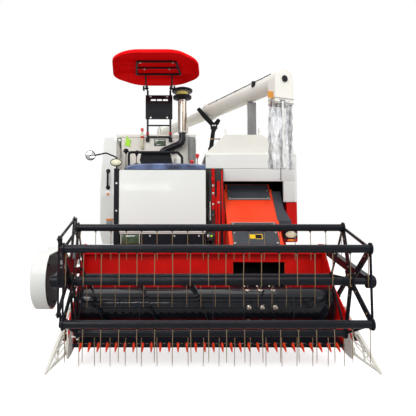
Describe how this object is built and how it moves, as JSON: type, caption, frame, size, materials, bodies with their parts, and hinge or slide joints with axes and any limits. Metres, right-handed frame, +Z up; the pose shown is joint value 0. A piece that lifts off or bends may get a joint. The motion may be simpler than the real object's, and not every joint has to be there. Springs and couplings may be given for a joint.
{
  "type": "tracked combine harvester",
  "caption": "Tracked full-feed combine with tined reel header, operator station under a canopy, grain tank and swinging unloading tube; header, reel, doors and tube move.",
  "frame": {"origin": "centre of the bounding box at ground level", "axes": "-Y forward, +X to the machine's left, +Z up"},
  "size_m": [2.904, 4.928, 3.297],
  "materials": {
    "white": "off-white painted sheet",
    "cream": "warm white painted sheet",
    "red": "signal red paint",
    "orange_red": "orange red paint",
    "black": "black paint",
    "dark_grey": "dark grey paint",
    "grey": "grey paint",
    "navy": "dark blue gloss plastic",
    "black_plastic": "black plastic",
    "red_plastic": "red moulded plastic",
    "white_plastic": "white moulded plastic",
    "rubber": "black rubber",
    "steel": "bright steel",
    "tine": "black tube with yellow zinc tines",
    "chrome": "bright plated steel",
    "clear": "clear soft plastic",
    "vinyl": "black vinyl"
  },
  "bodies": {
    "root": {"track_left": "rubber", "track_right": "rubber", "undercarriage_left": "dark_grey", "undercarriage_right": "dark_grey", "chassis_frame": "red", "engine": "grey", "thresher_body": "white", "front_cover": "white", "top_cover": "cream", "lower_side_panel": "red", "straw_hood": "white", "operator_platform": "dark_grey", "front_panel": "white", "lower_panel": "navy", "dash_cowl": "navy", "console": "black_plastic", "control_levers": "black_plastic", "seat": "vinyl", "side_cover": "white_plastic", "mirror": "black_plastic", "lamps": "white_plastic", "pre_cleaner": "black_plastic", "intake_pipe": "steel", "intake_hose": "rubber", "exhaust_duct": "grey", "grain_tank": "white", "canopy_posts": "black", "auger_column": "cream", "tube_rests": "black"},
    "feeder": {"feeder_house": "orange_red", "feeder_guard": "dark_grey", "header_trough": "red", "side_plates": "red", "dividers": "cream", "guard_bar": "black", "belt_guard": "white_plastic"},
    "knife": {"knife": "steel"},
    "header_auger": {"header_auger": "black"},
    "reel_frame": {"reel_arms": "black"},
    "reel": {"reel_spider": "black"},
    "eccentric": {"eccentric_ring": "black"},
    "reel_barrels": {"reel_cylinder_barrels": "black"},
    "reel_rods": {"reel_cylinder_rods": "chrome"},
    "lift_barrel": {"lift_cylinder_barrel": "black"},
    "lift_rod": {"lift_cylinder_rod": "chrome"},
    "side_door": {"side_door": "white"},
    "radiator_door": {"radiator_door": "white_plastic"},
    "tank_lid": {"tank_lid": "white"},
    "canopy": {"canopy_frame": "black", "canopy_shell": "red_plastic"},
    "turret": {"auger_turret": "cream"},
    "tube": {"unload_tube": "cream", "spout_sleeve": "clear"},
    "unload_barrel": {"unload_cylinder_barrel": "black"},
    "unload_rod": {"unload_cylinder_rod": "chrome"},
    "tine_bar_1": {"tine_bar_1": "tine"},
    "tine_bar_2": {"tine_bar_2": "tine"},
    "tine_bar_3": {"tine_bar_3": "tine"},
    "tine_bar_4": {"tine_bar_4": "tine"},
    "tine_bar_5": {"tine_bar_5": "tine"}
  },
  "joints": [
    {"name": "header_lift", "type": "hinge", "parent": "root", "child": "feeder", "pos_m": [0.138, -0.23597, 1.48], "axis": [-1, 0, 0], "range_deg": [0, 22]},
    {"name": "header_auger_spin", "type": "hinge", "parent": "feeder", "child": "header_auger", "pos_m": [0.138, -1.27597, 0.475], "axis": [1, 0, 0], "continuous": true},
    {"name": "knife_stroke", "type": "slide", "parent": "feeder", "child": "knife", "axis": [1, 0, 0], "range_m": [0, 0.0762]},
    {"name": "reel_lift", "type": "hinge", "parent": "feeder", "child": "reel_frame", "pos_m": [0.138, -1.00597, 1], "axis": [-1, 0, 0], "range_deg": [0, 25]},
    {"name": "reel_spin", "type": "hinge", "parent": "reel_frame", "child": "reel", "pos_m": [0.138, -2.05597, 0.76], "axis": [1, 0, 0], "continuous": true},
    {"name": "tine_bar_1_turn", "type": "hinge", "parent": "reel", "child": "tine_bar_1", "pos_m": [0.138, -2.42003, 1.0245], "axis": [1, 0, 0], "continuous": true},
    {"name": "tine_bar_2_turn", "type": "hinge", "parent": "reel", "child": "tine_bar_2", "pos_m": [0.138, -1.91691, 1.18798], "axis": [1, 0, 0], "continuous": true},
    {"name": "tine_bar_3_turn", "type": "hinge", "parent": "reel", "child": "tine_bar_3", "pos_m": [0.138, -1.60597, 0.76], "axis": [1, 0, 0], "continuous": true},
    {"name": "tine_bar_4_turn", "type": "hinge", "parent": "reel", "child": "tine_bar_4", "pos_m": [0.138, -1.91691, 0.33203], "axis": [1, 0, 0], "continuous": true},
    {"name": "tine_bar_5_turn", "type": "hinge", "parent": "reel", "child": "tine_bar_5", "pos_m": [0.138, -2.42003, 0.4955], "axis": [1, 0, 0], "continuous": true},
    {"name": "eccentric_spin", "type": "hinge", "parent": "reel_frame", "child": "eccentric", "pos_m": [0.138, -2.05597, 0.827], "axis": [1, 0, 0], "continuous": true},
    {"name": "reel_barrels_turn", "type": "hinge", "parent": "feeder", "child": "reel_barrels", "pos_m": [0.138, -1.35597, 0.565], "axis": [-1, 0, 0], "range_deg": [0, 22.09]},
    {"name": "reel_rods_slide", "type": "slide", "parent": "reel_barrels", "child": "reel_rods", "axis": [0, -0.8064, 0.5914], "range_m": [0, 0.24449]},
    {"name": "lift_barrel_turn", "type": "hinge", "parent": "root", "child": "lift_barrel", "pos_m": [0.558, -0.09597, 0.83], "axis": [-1, 0, 0], "range_deg": [0, 10.7]},
    {"name": "lift_rod_slide", "type": "slide", "parent": "lift_barrel", "child": "lift_rod", "axis": [0, -0.9844, 0.1758], "range_m": [0, 0.23213]},
    {"name": "side_door_open", "type": "hinge", "parent": "root", "child": "side_door", "pos_m": [1.2336, -0.00597, 1.7], "axis": [0, 0, -1], "range_deg": [0, 110]},
    {"name": "radiator_door_open", "type": "hinge", "parent": "root", "child": "radiator_door", "pos_m": [-1.052, 0.31003, 1.45], "axis": [0, 0, -1], "range_deg": [0, 110]},
    {"name": "tank_lid_open", "type": "hinge", "parent": "root", "child": "tank_lid", "pos_m": [-0.772, -0.75597, 2.5226], "axis": [0, -1, 0], "range_deg": [0, 100]},
    {"name": "canopy_tilt", "type": "hinge", "parent": "root", "child": "canopy", "pos_m": [0.138, 0.34103, 3.128], "axis": [-1, 0, 0], "range_deg": [-4, 10]},
    {"name": "unload_swing", "type": "hinge", "parent": "root", "child": "turret", "pos_m": [-0.292, 2.14403, 2.96], "axis": [0, 0, 1], "range_deg": [0, 230]},
    {"name": "unload_lift", "type": "hinge", "parent": "turret", "child": "tube", "pos_m": [-0.292, 2.14403, 2.96], "axis": [-0.9312, -0.3644, 0], "range_deg": [0, 35]},
    {"name": "unload_barrel_turn", "type": "hinge", "parent": "turret", "child": "unload_barrel", "pos_m": [-0.22458, 1.97175, 2.48], "axis": [-0.9312, -0.3644, 0], "range_deg": [0, 30.74]},
    {"name": "unload_rod_slide", "type": "slide", "parent": "unload_barrel", "child": "unload_rod", "axis": [0.3379, -0.8634, 0.3747], "range_m": [0, 0.303]}
  ],
  "couplings": [
    {"joint": "tine_bar_1_turn", "follows": "reel_spin", "ratio": -1},
    {"joint": "tine_bar_2_turn", "follows": "reel_spin", "ratio": -1},
    {"joint": "tine_bar_3_turn", "follows": "reel_spin", "ratio": -1},
    {"joint": "tine_bar_4_turn", "follows": "reel_spin", "ratio": -1},
    {"joint": "tine_bar_5_turn", "follows": "reel_spin", "ratio": -1},
    {"joint": "eccentric_spin", "follows": "reel_spin", "ratio": 1},
    {"joint": "reel_barrels_turn", "follows": "reel_lift", "ratio": 0.84362},
    {"joint": "reel_rods_slide", "follows": "reel_lift", "m_per_rad": 0.54886},
    {"joint": "lift_barrel_turn", "follows": "header_lift", "ratio": 0.44107},
    {"joint": "lift_rod_slide", "follows": "header_lift", "m_per_rad": 0.59152},
    {"joint": "unload_barrel_turn", "follows": "unload_lift", "ratio": 0.84979},
    {"joint": "unload_rod_slide", "follows": "unload_lift", "m_per_rad": 0.48784}
  ]
}
